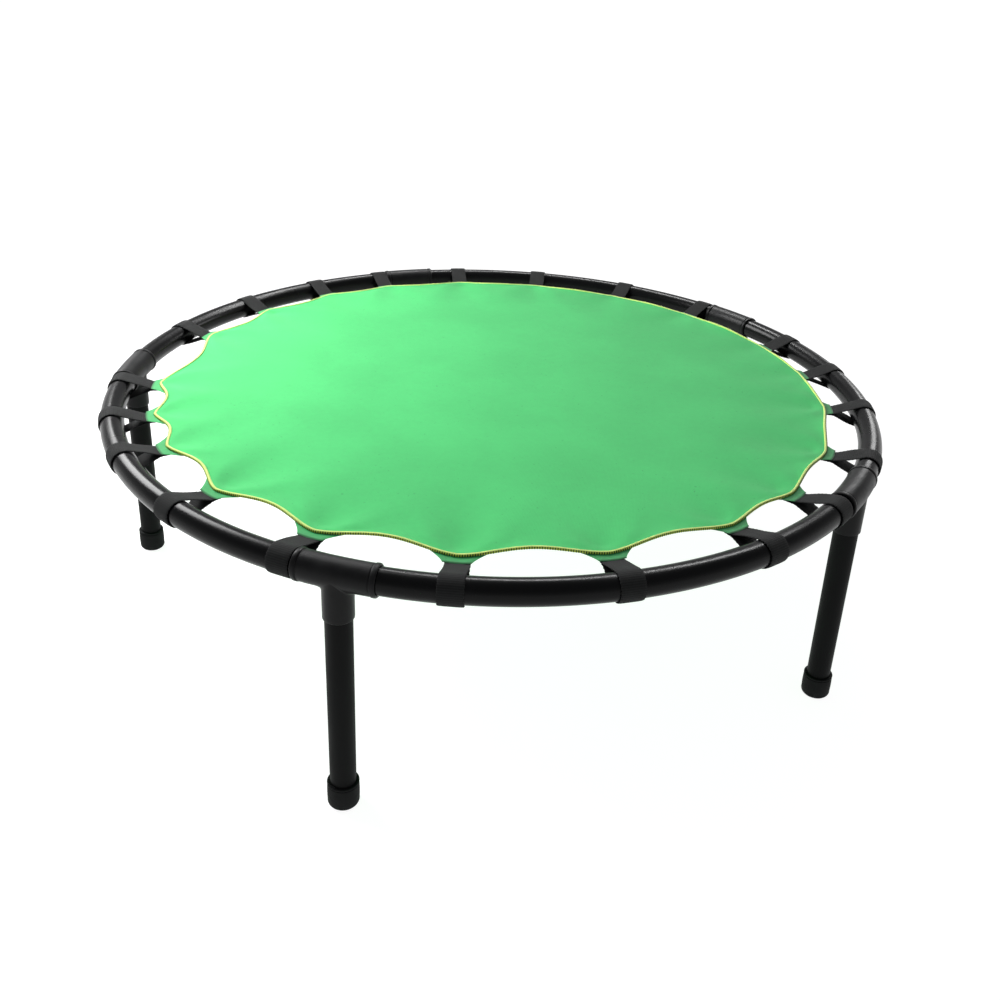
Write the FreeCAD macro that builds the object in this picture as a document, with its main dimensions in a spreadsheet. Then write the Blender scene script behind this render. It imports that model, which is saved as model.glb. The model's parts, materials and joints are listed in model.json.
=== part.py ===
"""Round mini trampoline: a knock-down tube rim on five legs, with a strapped stretch mat.

Units are millimetres and degrees.  +Z is up, the floor is z = 0 and the rim's axis is the Z axis.
The driving dimensions are in the spreadsheet "Sizes"; every piece reads them from there.
"""
import FreeCAD
import Part
import math
import os
import Sketcher

doc = FreeCAD.newDocument("Trampoline")

# ---------------------------------------------------------------- driving dimensions
SIZES = [
    ("rim_radius", 390.0, "rim axis to the centre line of the tube"),
    ("rim_height", 226.0, "floor to the centre line of the tube"),
    ("tube_diameter", 22.0, "outside of the rim tube"),
    ("tube_wall", 1.2, "wall of the rim tube"),
    ("tube_fit", 0.1, "radial clearance of the tube in the tee"),
    ("tube_end_gap", 0.3, "tube end to the stop inside the tee"),
    ("tee_count", 5, "tees, and so tubes and legs too"),
    ("tee_turn", 261.0, "angle of the first tee about the rim axis"),
    ("barrel_length", 66.0, "tee barrel along the rim"),
    ("barrel_wall", 1.5, "wall of the tee barrel"),
    ("barrel_land", 0.3, "least that the barrel stands out past the leg socket on each side"),
    ("bead_width", 4.0, "raised bead at each end of the barrel"),
    ("bead_rise", 0.9, "height of the bead over the barrel"),
    ("stop_width", 3.0, "web inside the barrel that both tubes stop at"),
    ("socket_roof", 3.0, "material between the tube bore and the leg bore"),
    ("socket_depth", 24.0, "how far the leg goes into the tee"),
    ("socket_wall", 1.3, "wall of the leg socket"),
    ("saddle_round", 2.0, "fillet where the socket meets the barrel"),
    ("cut_past", 1.0, "how far a cutting shape runs past the face that it opens"),
    ("leg_diameter", 22.0, "outside of the leg tube"),
    ("leg_wall", 1.5, "wall of the leg tube"),
    ("leg_fit", 0.1, "radial clearance of the leg in its socket"),
    ("leg_end_gap", 0.2, "leg's end to the socket's floor"),
    ("leg_splay", 3.5, "outward lean of the legs"),
    ("cap_height", 25.0, "foot cap along the leg"),
    ("cap_wall", 2.5, "wall of the foot cap"),
    ("cap_floor", 5.0, "thickness under the leg's end"),
    ("cap_round", 5.0, "rounding of the cap's lower edge"),
    ("strap_count", 21, "webbing loops"),
    ("strap_turn", 274.7, "angle of the first strap"),
    ("strap_width", 20.0, "webbing width"),
    ("strap_thickness", 1.6, "webbing thickness"),
    ("strap_fit", 0.2, "gap between webbing and tube"),
    ("strap_tail", 12.0, "length sewn under the tab"),
    ("strap_space", 1.0, "least gap between a strap and a tee"),
    ("tab_reach", 31.0, "rim centre line in to the tab's outer edge"),
    ("tab_depth", 20.0, "tab from its outer edge inwards"),
    ("tab_width", 24.0, "tab's outer edge"),
    ("tab_root_width", 42.0, "tab's inner edge"),
    ("tab_thickness", 1.0, "tab cloth"),
    ("edge_inset", 38.0, "rim centre line in to the mat's edge at a strap"),
    ("scallop_depth", 10.0, "how far the mat's edge draws in between two evenly spaced straps"),
    ("mat_thickness", 1.6, "mat cloth"),
    ("trim_width", 4.0, "overlocked edge, seen from above"),
    ("trim_rise", 1.0, "overlocked edge over the mat's face"),
]

sheet = doc.addObject("Spreadsheet::Sheet", "Sizes")
for line, (alias, value, note) in enumerate(SIZES, start=1):
    sheet.set("A%d" % line, alias)
    sheet.set("B%d" % line, str(value))
    sheet.set("C%d" % line, note)
    sheet.setAlias("B%d" % line, alias)
doc.recompute()


def size(alias):
    """A driving dimension's value, for pieces whose outline is worked out in code."""
    return float(getattr(sheet, alias))


# ---------------------------------------------------------------- formulas used by several pieces
BORE_RADIUS = "(Sizes.tube_diameter / 2 + Sizes.tube_fit)"
SOCKET_FLOOR = "(Sizes.tube_diameter / 2 + Sizes.tube_fit + Sizes.socket_roof)"
SOCKET_BORE = "(Sizes.leg_diameter / 2 + Sizes.leg_fit)"
SOCKET_RADIUS = "(%s + Sizes.socket_wall)" % SOCKET_BORE
BARREL_RADIUS = "max(%s + Sizes.barrel_wall; %s + Sizes.barrel_land)" % (BORE_RADIUS, SOCKET_RADIUS)
LEG_TO_FLOOR = "(Sizes.rim_height / cos(Sizes.leg_splay))"
TEE_PITCH = "(360 / Sizes.tee_count)"
CLOSE = 0.05  # two places nearer than this are the same place


def degrees_on_rim(length):
    """Formula for the angle that a length takes up along the rim's centre line."""
    return "(%s / Sizes.rim_radius * 180 / pi)" % length


def tee_angle(index):
    """Formula for the angle of tee number index, counted from 0."""
    return "(Sizes.tee_turn + %d * %s)" % (index, TEE_PITCH)


# ---------------------------------------------------------------- small builders
def origin_plane(body, role):
    """One of the body's own origin planes, by its role."""
    for feature in body.Origin.OriginFeatures:
        if feature.Role == role:
            return feature
    raise RuntimeError("no plane " + role)


def new_body(label, sketch_role):
    """A PartDesign body with one empty sketch on an origin plane."""
    body = doc.addObject("PartDesign::Body", label)
    body.Label = label
    sketch = body.newObject("Sketcher::SketchObject", label + "_sketch")
    sketch.AttachmentSupport = [(origin_plane(body, sketch_role), "")]
    sketch.MapMode = "FlatFace"
    return body, sketch


def add_circle(sketch, name, radius, right, up):
    """A circle whose radius and centre are bound to formulas."""
    circle = sketch.addGeometry(Part.Circle(FreeCAD.Vector(50, 50, 0), FreeCAD.Vector(0, 0, 1), 5))
    for key, kind, formula in ((name + "_right", "DistanceX", right), (name + "_up", "DistanceY", up)):
        if formula == "0":
            target = -2 if kind == "DistanceX" else -1
            sketch.addConstraint(Sketcher.Constraint("PointOnObject", circle, 3, target))
            continue
        row = sketch.addConstraint(Sketcher.Constraint(kind, -1, 1, circle, 3, 50.0))
        sketch.renameConstraint(row, key)
        sketch.setExpression("Constraints." + key, formula)
    row = sketch.addConstraint(Sketcher.Constraint("Radius", circle, 5.0))
    sketch.renameConstraint(row, name + "_radius")
    sketch.setExpression("Constraints.%s_radius" % name, radius)
    return circle


def torus_sector(name, radius, start, sweep):
    """Part of the ring that a circle makes when it turns about Z at the rim's radius and height."""
    ring = doc.addObject("Part::Torus", name)
    ring.setExpression("Radius1", "Sizes.rim_radius")
    ring.setExpression("Radius2", radius)
    ring.setExpression("Angle3", sweep)
    ring.setExpression("Placement.Base.z", "Sizes.rim_height")
    ring.Placement.Rotation = FreeCAD.Rotation(FreeCAD.Vector(0, 0, 1), 1)
    ring.setExpression("Placement.Rotation.Angle", start)
    return ring


def along_leg(name, radius, depth, length):
    """Cylinder on the leg's axis, in the XZ plane, from a depth below the rim's centre line down."""
    rod = doc.addObject("Part::Cylinder", name)
    rod.setExpression("Radius", radius)
    rod.setExpression("Height", length)
    place_on_leg(rod, "(%s + %s)" % (depth, length))
    return rod


def place_on_leg(thing, depth):
    """Puts the thing's own Z axis on the leg's axis, its origin at a depth below the centre line."""
    thing.Placement.Rotation = FreeCAD.Rotation(FreeCAD.Vector(0, -1, 0), 1)
    thing.setExpression("Placement.Rotation.Angle", "Sizes.leg_splay")
    thing.setExpression("Placement.Base.x", "Sizes.rim_radius + %s * sin(Sizes.leg_splay)" % depth)
    thing.setExpression("Placement.Base.z", "Sizes.rim_height - %s * cos(Sizes.leg_splay)" % depth)


def turned(thing, angle):
    """Turns a finished piece about the rim's axis."""
    thing.Placement.Rotation = FreeCAD.Rotation(FreeCAD.Vector(0, 0, 1), 1)
    thing.setExpression("Placement.Rotation.Angle", angle)
    return thing


def joined(name, pieces):
    """Fuse of several shapes."""
    fuse = doc.addObject("Part::MultiFuse", name)
    fuse.Shapes = pieces
    return fuse


def cut(name, base, tool):
    """Base without tool."""
    result = doc.addObject("Part::Cut", name)
    result.Base = base
    result.Tool = tool
    return result


# ---------------------------------------------------------------- rim tubes
def rim_tube(index):
    """Bent tube from one tee's stop to the next."""
    label = "rim_tube_%d" % (index + 1)
    body, sketch = new_body(label, "XZ_Plane")
    add_circle(sketch, "outer", "Sizes.tube_diameter / 2", "Sizes.rim_radius", "Sizes.rim_height")
    add_circle(sketch, "inner", "Sizes.tube_diameter / 2 - Sizes.tube_wall", "Sizes.rim_radius", "Sizes.rim_height")
    bend = body.newObject("PartDesign::Revolution", label + "_bend")
    bend.Profile = sketch
    bend.ReferenceAxis = (sketch, ["V_Axis"])
    bend.Midplane = True
    left_out = degrees_on_rim("(Sizes.stop_width + 2 * Sizes.tube_end_gap)")
    bend.setExpression("Angle", "%s - %s" % (TEE_PITCH, left_out))
    return turned(body, "%s + %s / 2" % (tee_angle(index), TEE_PITCH))


# ---------------------------------------------------------------- tee fittings
def saddle_edges(shape, barrel_radius):
    """Numbers of the edges where the socket's outside runs into the barrel's outside."""
    found = []
    rim_radius, rim_height = size("rim_radius"), size("rim_height")
    for number, edge in enumerate(shape.Edges, start=1):
        first, last = edge.ParameterRange
        points = [edge.valueAt(first + (last - first) * share) for share in (0.2, 0.5, 0.8)]
        from_line = [math.hypot(math.hypot(p.x, p.y) - rim_radius, p.z - rim_height) for p in points]
        on_barrel = all(abs(distance - barrel_radius) < CLOSE for distance in from_line)
        below = all(point.z < rim_height - CLOSE for point in points)
        if on_barrel and below and abs(points[1].y) < size("barrel_length") / 2 - CLOSE:
            found.append(number)
    return found


def tee(index):
    """Barrel with a bead at each end, a stop web between its two bores, and a socket for the leg."""
    label = "tee_%d" % (index + 1)
    half = degrees_on_rim("(Sizes.barrel_length / 2)")
    bead = degrees_on_rim("Sizes.bead_width")
    stop = degrees_on_rim("(Sizes.stop_width / 2)")
    bead_radius = "(%s + Sizes.bead_rise)" % BARREL_RADIUS
    barrel = torus_sector(label + "_barrel", BARREL_RADIUS, "-" + half, "2 * " + half)
    near_bead = torus_sector(label + "_bead_a", bead_radius, "-" + half, bead)
    far_bead = torus_sector(label + "_bead_b", bead_radius, "%s - %s" % (half, bead), bead)
    socket = along_leg(label + "_socket", SOCKET_RADIUS, "0", "(%s + Sizes.socket_depth)" % SOCKET_FLOOR)
    outside = joined(label + "_outside", [barrel, socket])
    doc.recompute()
    blend = doc.addObject("Part::Fillet", label + "_saddle")
    blend.Base = outside
    numbers = saddle_edges(outside.Shape, barrel.Radius2.Value)
    blend.Edges = [(number, size("saddle_round"), size("saddle_round")) for number in numbers]
    solid = joined(label + "_solid", [blend, near_bead, far_bead])
    past_end = "(%s - %s + %s)" % (half, stop, degrees_on_rim("Sizes.cut_past"))
    bore_a = torus_sector(label + "_bore_a", BORE_RADIUS, stop, past_end)
    bore_b = torus_sector(label + "_bore_b", BORE_RADIUS, "-%s - %s" % (stop, past_end), past_end)
    leg_bore = along_leg(label + "_leg_bore", SOCKET_BORE, SOCKET_FLOOR, "(Sizes.socket_depth + Sizes.cut_past)")
    holes = joined(label + "_holes", [bore_a, bore_b, leg_bore])
    fitting = cut(label, solid, holes)
    return turned(fitting, tee_angle(index))


# ---------------------------------------------------------------- legs
def leg_tube(index):
    """Straight tube from the socket's floor down into the foot cap."""
    label = "leg_tube_%d" % (index + 1)
    body, sketch = new_body(label + "_straight", "XY_Plane")
    add_circle(sketch, "outer", "Sizes.leg_diameter / 2", "0", "0")
    add_circle(sketch, "inner", "Sizes.leg_diameter / 2 - Sizes.leg_wall", "0", "0")
    pad = body.newObject("PartDesign::Pad", label + "_pad")
    pad.Profile = sketch
    taken = "(%s + Sizes.leg_end_gap + Sizes.cap_floor)" % SOCKET_FLOOR
    pad.setExpression("Length", "%s - %s" % (LEG_TO_FLOOR, taken))
    place_on_leg(body, "(%s - Sizes.cap_floor)" % LEG_TO_FLOOR)
    leg = doc.addObject("Part::Compound", label)
    leg.Links = [body]
    return turned(leg, tee_angle(index))


def foot_cap(index):
    """Cup over the leg's end; its sole is level with the floor though the leg leans."""
    label = "foot_cap_%d" % (index + 1)
    body, sketch = new_body(label + "_cup", "XZ_Plane")
    outer = size("leg_diameter") / 2 + size("cap_wall")
    inner = size("leg_diameter") / 2
    low = -outer * math.tan(math.radians(size("leg_splay")))
    corners = [(0, low), (outer, low), (outer, size("cap_height")), (inner, size("cap_height")),
               (inner, size("cap_floor")), (0, size("cap_floor"))]
    lines = []
    for here, there in zip(corners, corners[1:] + corners[:1]):
        start = FreeCAD.Vector(here[0], here[1], 0)
        end = FreeCAD.Vector(there[0], there[1], 0)
        lines.append(sketch.addGeometry(Part.LineSegment(start, end)))
    for first, second in zip(lines, lines[1:] + lines[:1]):
        sketch.addConstraint(Sketcher.Constraint("Coincident", first, 2, second, 1))
    for line in (lines[0], lines[2], lines[4]):
        sketch.addConstraint(Sketcher.Constraint("Horizontal", line))
    for line in (lines[1], lines[3]):
        sketch.addConstraint(Sketcher.Constraint("Vertical", line))
    sketch.addConstraint(Sketcher.Constraint("PointOnObject", lines[0], 1, -2))
    sketch.addConstraint(Sketcher.Constraint("PointOnObject", lines[4], 2, -2))
    outer_formula = "Sizes.leg_diameter / 2 + Sizes.cap_wall"
    bound = [("outer", "DistanceX", lines[1], 2, outer, outer_formula),
             ("inner", "DistanceX", lines[3], 2, inner, "Sizes.leg_diameter / 2"),
             ("top", "DistanceY", lines[1], 2, size("cap_height"), "Sizes.cap_height"),
             ("seat", "DistanceY", lines[3], 2, size("cap_floor"), "Sizes.cap_floor")]
    for key, kind, line, end, value, formula in bound:
        row = sketch.addConstraint(Sketcher.Constraint(kind, -1, 1, line, end, value))
        sketch.renameConstraint(row, key)
        sketch.setExpression("Constraints." + key, formula)
    row = sketch.addConstraint(Sketcher.Constraint("DistanceY", lines[0], 2, -1, 1, -low))
    sketch.renameConstraint(row, "sole")
    sketch.setExpression("Constraints.sole", "(%s) * tan(Sizes.leg_splay)" % outer_formula)
    turn = body.newObject("PartDesign::Revolution", label + "_turn")
    turn.Profile = sketch
    turn.ReferenceAxis = (sketch, ["V_Axis"])
    turn.Angle = 360
    doc.recompute()
    rounding = body.newObject("PartDesign::Fillet", label + "_round")
    rim = [number for number, edge in enumerate(turn.Shape.Edges, start=1)
           if edge.BoundBox.ZLength < CLOSE and abs(edge.BoundBox.ZMin - low) < CLOSE
           and edge.BoundBox.XLength > inner]
    rounding.Base = (turn, ["Edge%d" % number for number in rim])
    rounding.setExpression("Radius", "Sizes.cap_round")
    place_on_leg(body, LEG_TO_FLOOR)
    below = doc.addObject("Part::Box", label + "_floor")  # twice as wide and long as the cap needs
    below.setExpression("Length", "4 * Sizes.leg_diameter")
    below.setExpression("Width", "4 * Sizes.leg_diameter")
    below.setExpression("Height", "Sizes.cap_height")
    foot_x = "(Sizes.rim_radius + Sizes.rim_height * tan(Sizes.leg_splay))"
    below.setExpression("Placement.Base.x", foot_x + " - 2 * Sizes.leg_diameter")
    below.setExpression("Placement.Base.y", "-2 * Sizes.leg_diameter")
    below.setExpression("Placement.Base.z", "-Sizes.cap_height")
    return turned(cut(label, body, below), tee_angle(index))


# ---------------------------------------------------------------- straps
def strap_angles():
    """Even spacing, with each strap where it was pulled to, and none of them on a tee.

    SLIP is how many degrees each strap lies past its even place on the rim.  A strap that would touch a
    tee barrel moves along the rim to the barrel's nearer end.
    """
    pitch = 360 / size("strap_count")
    room = size("barrel_length") / 2 + size("strap_width") / 2 + size("strap_space")
    clear = math.degrees(room / size("rim_radius"))
    tee_pitch = 360 / size("tee_count")
    angles = []
    for index in range(int(size("strap_count"))):
        slip = SLIP[index] if index < len(SLIP) else 0
        angle = size("strap_turn") + index * pitch + slip
        past_tee = (angle - size("tee_turn") + tee_pitch / 2) % tee_pitch - tee_pitch / 2
        if abs(past_tee) < clear:
            angle += math.copysign(clear, past_tee) - past_tee
        angles.append(angle % 360)
    return angles


SLIP = (-1, 1, 3, 0, -1, 0, -2, -5, 0, 1, 3, 3, 1, 0, -1, -1, 3, 2, -3, -4, -3)


def strap(index, angle):
    """Loop of webbing round the tube: both plies leave the tube on a tangent and meet under the tab."""
    label = "strap_%02d" % (index + 1)
    body, sketch = new_body(label, "XZ_Plane")
    thickness = size("strap_thickness")
    inside = size("tube_diameter") / 2 + size("strap_fit")
    outside = inside + thickness
    reach = size("tab_reach")
    origin = FreeCAD.Vector(0, 0, 0)
    # outer outline: an arc round the tube, two tangents to the tail, the tail
    lean = math.asin(outside / math.hypot(reach, thickness)) - math.atan2(thickness, reach)
    touch = FreeCAD.Vector(-outside * math.sin(lean), outside * math.cos(lean), 0)
    shoulder = FreeCAD.Vector(-reach, thickness, 0)
    end = FreeCAD.Vector(-reach - size("strap_tail"), thickness, 0)
    outline = [Part.Arc(mirrored(touch), FreeCAD.Vector(outside, 0, 0), touch),
               Part.LineSegment(touch, shoulder), Part.LineSegment(shoulder, end),
               Part.LineSegment(end, mirrored(end)), Part.LineSegment(mirrored(end), mirrored(shoulder)),
               Part.LineSegment(mirrored(shoulder), mirrored(touch))]
    # inner outline: the same arc one thickness in, and two tangents that meet in a point
    inner_lean = math.asin(inside / reach)
    inner_touch = FreeCAD.Vector(-inside * math.sin(inner_lean), inside * math.cos(inner_lean), 0)
    meet = FreeCAD.Vector(-reach, 0, 0)
    outline += [Part.Arc(mirrored(inner_touch), FreeCAD.Vector(inside, 0, 0), inner_touch),
                Part.LineSegment(inner_touch, meet), Part.LineSegment(meet, mirrored(inner_touch))]
    rows = [sketch.addGeometry(piece) for piece in outline]
    arc, top, tail_top, tail_end, tail_low, low, inner_arc, inner_top, inner_low = rows
    closed = [(top, 2, tail_top, 1), (tail_top, 2, tail_end, 1), (tail_end, 2, tail_low, 1),
              (tail_low, 2, low, 1), (inner_top, 2, inner_low, 1)]
    for first, first_end, second, second_end in closed:
        sketch.addConstraint(Sketcher.Constraint("Coincident", first, first_end, second, second_end))
    smooth = [(arc, 2, top, 1), (low, 2, arc, 1), (inner_arc, 2, inner_top, 1), (inner_low, 2, inner_arc, 1)]
    for first, first_end, second, second_end in smooth:
        sketch.addConstraint(Sketcher.Constraint("Tangent", first, first_end, second, second_end))
    for centred in (arc, inner_arc):
        sketch.addConstraint(Sketcher.Constraint("Coincident", centred, 3, -1, 1))
    sketch.addConstraint(Sketcher.Constraint("Horizontal", tail_top))
    sketch.addConstraint(Sketcher.Constraint("Horizontal", tail_low))
    sketch.addConstraint(Sketcher.Constraint("Vertical", tail_end))
    sketch.addConstraint(Sketcher.Constraint("PointOnObject", inner_top, 2, -1))
    ply = "Sizes.strap_thickness"
    inside_formula = "Sizes.tube_diameter / 2 + Sizes.strap_fit"
    bound = [("outer_radius", ("Radius", arc), outside, "%s + %s" % (inside_formula, ply)),
             ("inner_radius", ("Radius", inner_arc), inside, inside_formula),
             ("reach", ("DistanceX", top, 2, -1, 1), reach, "Sizes.tab_reach"),
             ("low_reach", ("DistanceX", low, 1, -1, 1), reach, "Sizes.tab_reach"),
             ("meet", ("DistanceX", inner_top, 2, -1, 1), reach, "Sizes.tab_reach"),
             ("tail", ("DistanceX", tail_top, 2, tail_top, 1), size("strap_tail"), "Sizes.strap_tail"),
             ("upper_ply", ("DistanceY", -1, 1, tail_top, 1), thickness, ply),
             ("lower_ply", ("DistanceY", tail_low, 2, -1, 1), thickness, ply)]
    for key, what, value, formula in bound:
        row = sketch.addConstraint(Sketcher.Constraint(*what, value))
        sketch.renameConstraint(row, key)
        sketch.setExpression("Constraints." + key, formula)
    pad = body.newObject("PartDesign::Pad", label + "_pad")
    pad.Profile = sketch
    pad.Midplane = True
    pad.setExpression("Length", "Sizes.strap_width")
    turned(body, "%.4f" % angle)
    body.setExpression("Placement.Base.x", "Sizes.rim_radius * cos(%.4f)" % angle)
    body.setExpression("Placement.Base.y", "Sizes.rim_radius * sin(%.4f)" % angle)
    body.setExpression("Placement.Base.z", "Sizes.rim_height")
    return body


def mirrored(point):
    """The point on the other side of the rim's middle plane."""
    return FreeCAD.Vector(point.x, -point.y, 0)


# ---------------------------------------------------------------- mat
def on_circle(radius, angle):
    """Point at the rim's middle plane."""
    turn = math.radians(angle)
    return FreeCAD.Vector(radius * math.cos(turn), radius * math.sin(turn), 0)


def scalloped_face(angles, inset):
    """Face whose edge is a short chord at each strap and an arc that draws in between straps.

    The arc draws in with the square of its span, as the edge of a stretched cloth does.
    """
    peak = size("rim_radius") - size("edge_inset")
    even_span = 360 / size("strap_count")
    half_tab = math.degrees(size("tab_width") / 2 / peak)
    ordered = sorted(angles)
    edges = []
    for here, there in zip(ordered, ordered[1:] + [ordered[0] + 360]):
        leave = on_circle(peak - inset, here + half_tab)
        arrive = on_circle(peak - inset, there - half_tab)
        depth = size("scallop_depth") * ((there - here) / even_span) ** 2
        middle = on_circle(peak - inset - depth, (here + there) / 2)
        edges.append(Part.LineSegment(on_circle(peak - inset, here - half_tab), leave).toShape())
        edges.append(Part.Arc(leave, middle, arrive).toShape())
    return Part.Face(Part.Wire(edges))


def solid_piece(label, shape, height):
    """A Part::Feature that holds a shape made above z = 0 and stands at a height."""
    piece = doc.addObject("Part::Feature", label)
    piece.Shape = shape
    piece.Placement.Base = FreeCAD.Vector(0, 0, height)
    return piece


def mat_pieces(angles):
    """Mat cloth, its overlocked edge, and the tabs under the edge that hold the straps."""
    up = FreeCAD.Vector(0, 0, 1)
    tab_bottom = size("rim_height") + size("strap_thickness")
    mat_bottom = tab_bottom + size("tab_thickness")
    cloth = scalloped_face(angles, size("trim_width")).extrude(up * size("mat_thickness"))
    whole = scalloped_face(angles, 0).extrude(up * (size("mat_thickness") + size("trim_rise")))
    hole = scalloped_face(angles, size("trim_width")).extrude(up * (size("mat_thickness") + size("trim_rise")))
    outer = size("rim_radius") - size("tab_reach")
    inner = outer - size("tab_depth")
    half_out = size("tab_width") / 2
    half_in = size("tab_root_width") / 2
    tabs = []
    for angle in angles:
        corners = [FreeCAD.Vector(outer, -half_out, 0), FreeCAD.Vector(outer, half_out, 0),
                   FreeCAD.Vector(inner, half_in, 0), FreeCAD.Vector(inner, -half_in, 0)]
        tab = Part.Face(Part.makePolygon(corners + corners[:1])).extrude(up * size("tab_thickness"))
        tab.rotate(FreeCAD.Vector(0, 0, 0), up, angle)
        tabs.append(tab)
    return [solid_piece("mat", cloth, mat_bottom),
            solid_piece("edge_trim", whole.cut(hole), mat_bottom),
            solid_piece("strap_tabs", Part.makeCompound(tabs), tab_bottom)]


# ---------------------------------------------------------------- the whole object
pieces = []
for number in range(int(size("tee_count"))):
    pieces += [rim_tube(number), tee(number), leg_tube(number), foot_cap(number)]
turns = strap_angles()
for number, turn_angle in enumerate(turns):
    pieces.append(strap(number, turn_angle))
pieces += mat_pieces(turns)
doc.recompute()

for thing in doc.Objects:
    if "Invalid" in thing.State or "Error" in thing.State:
        raise RuntimeError("%s failed: %s" % (thing.Name, thing.State))
for piece in pieces:
    if piece.Shape.isNull() or not piece.Shape.isValid():
        raise RuntimeError("%s has no valid shape" % piece.Label)

os.makedirs("parts", exist_ok=True)
for piece in pieces:
    piece.Shape.exportStep("parts/%s.step" % piece.Label)
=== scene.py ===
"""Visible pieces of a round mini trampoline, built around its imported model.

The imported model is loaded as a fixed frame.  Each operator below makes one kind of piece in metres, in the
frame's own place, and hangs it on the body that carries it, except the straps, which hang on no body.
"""
import json
import math

import bmesh
import bpy
import numpy as np
from mathutils import Matrix, Vector


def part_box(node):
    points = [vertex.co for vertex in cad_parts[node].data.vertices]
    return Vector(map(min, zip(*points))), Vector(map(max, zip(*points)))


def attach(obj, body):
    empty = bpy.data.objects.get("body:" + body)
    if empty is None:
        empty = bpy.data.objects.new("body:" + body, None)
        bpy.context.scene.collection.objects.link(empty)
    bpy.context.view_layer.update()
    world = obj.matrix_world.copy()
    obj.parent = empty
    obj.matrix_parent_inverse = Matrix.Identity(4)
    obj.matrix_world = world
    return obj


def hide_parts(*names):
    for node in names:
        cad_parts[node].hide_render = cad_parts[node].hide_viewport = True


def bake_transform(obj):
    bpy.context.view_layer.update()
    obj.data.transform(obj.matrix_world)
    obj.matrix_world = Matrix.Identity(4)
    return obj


bl_info = {
    "name": "Round mini trampoline",
    "version": (1, 0, 0),
    "blender": (4, 5, 0),
    "location": "3D View > Sidebar > Trampoline",
    "description": "Builds the visible pieces of a small round trampoline around its packed model",
    "category": "Add Mesh",
}

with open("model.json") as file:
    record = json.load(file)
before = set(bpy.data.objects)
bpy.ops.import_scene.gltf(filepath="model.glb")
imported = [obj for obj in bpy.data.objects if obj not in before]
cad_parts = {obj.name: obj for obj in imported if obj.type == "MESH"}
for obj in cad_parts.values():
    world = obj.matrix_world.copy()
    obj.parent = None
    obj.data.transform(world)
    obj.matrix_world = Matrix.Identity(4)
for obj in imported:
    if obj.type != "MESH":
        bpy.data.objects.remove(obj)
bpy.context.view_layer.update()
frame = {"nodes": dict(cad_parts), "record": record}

MM = 0.001
TAU = 2 * math.pi
UP = np.array([0.0, 0.0, 1.0])
BODIES = frame["record"]["behaviour"]["bodies"]
TUBE_NODES = sorted(node for node in BODIES["frame"] if node.startswith("rim_tube"))
TEE_NODES = sorted(node for node in BODIES["frame"] if node.startswith("tee"))
STRAP_NODES = sorted(node for node in BODIES["frame"] if node.startswith("strap"))


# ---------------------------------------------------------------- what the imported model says
def node_points(node):
    """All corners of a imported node, as rows of x, y, z."""
    mesh = frame["nodes"][node].data
    flat = np.empty(len(mesh.vertices) * 3, np.float32)
    mesh.vertices.foreach_get("co", flat)
    return flat.reshape(-1, 3).astype(float)


def span(node):
    """First and last angle about Z of a node, either side of its heading."""
    points = node_points(node)
    middle = math.atan2(*points.mean(0)[[1, 0]])
    past = (np.arctan2(points[:, 1], points[:, 0]) - middle + math.pi) % TAU - math.pi
    return middle + past.min(), middle + past.max()


def reach_of(*nodes):
    """Least and greatest distance from the Z axis over some nodes."""
    reach = np.concatenate([np.hypot(*node_points(node)[:, :2].T) for node in nodes])
    return reach.min(), reach.max()


def height_of(node):
    """Lowest and highest z of a node."""
    low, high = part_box(node)
    return low.z, high.z


RIM_RADIUS = round(sum(reach_of(*TUBE_NODES)) / 2, 4)
RIM_HEIGHT = round(sum(height_of(TUBE_NODES[0])) / 2, 4)
TUBE_RADIUS = round((height_of(TUBE_NODES[0])[1] - height_of(TUBE_NODES[0])[0]) / 2, 4)
FEET = [Vector(mount["pos_m"]) for mount in frame["record"]["mounts"]]
TEE_TURNS = [math.atan2(foot.y, foot.x) for foot in FEET]
FOOT_RADIUS = math.hypot(FEET[0].x, FEET[0].y)
LEG_LEAN = math.atan2(FOOT_RADIUS - RIM_RADIUS, RIM_HEIGHT)
LEG_LENGTH = math.hypot(FOOT_RADIUS - RIM_RADIUS, RIM_HEIGHT)
STRAP_TURNS = np.array([math.atan2(*node_points(node).mean(0)[[1, 0]]) for node in STRAP_NODES])
MAT_BOTTOM = height_of("mat")[0]
EDGE_RADIUS = reach_of("edge_trim")[1]
TAB_OUTER = reach_of("strap_tabs")[1]
STRAP_REACH = RIM_RADIUS - TAB_OUTER

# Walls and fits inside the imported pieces, which their outlines alone don't tell.
FIT = 0.1 * MM
TUBE_WALL = 1.2 * MM
LEG_RADIUS = 11 * MM
LEG_WALL = 1.5 * MM
BEAD_RISE = 0.9 * MM
BARREL_HALF = 33 * MM
STOP_HALF = 1.5 * MM
BORE_RADIUS = TUBE_RADIUS + FIT
BARREL_RADIUS = height_of(TEE_NODES[0])[1] - RIM_HEIGHT - BEAD_RISE
SOCKET_BORE = LEG_RADIUS + FIT
SOCKET_RADIUS = SOCKET_BORE + 1.3 * MM
SOCKET_FLOOR = BORE_RADIUS + 3 * MM
SOCKET_END = SOCKET_FLOOR + 24 * MM
CAP_HEIGHT = 25 * MM
CAP_FLOOR = 5 * MM
CAP_RADIUS = LEG_RADIUS + 2.5 * MM
MAT_THICKNESS = 1.6 * MM


# ---------------------------------------------------------------- settings a user would change
def length(name, description, default):
    """A length property in metres."""
    return bpy.props.FloatProperty(name=name, description=description, default=default, min=0.0,
                                   unit="LENGTH", precision=4)


def colour(name, description, default):
    """A colour property."""
    return bpy.props.FloatVectorProperty(name=name, description=description, default=default, size=3,
                                         min=0.0, max=1.0, subtype="COLOR")


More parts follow.
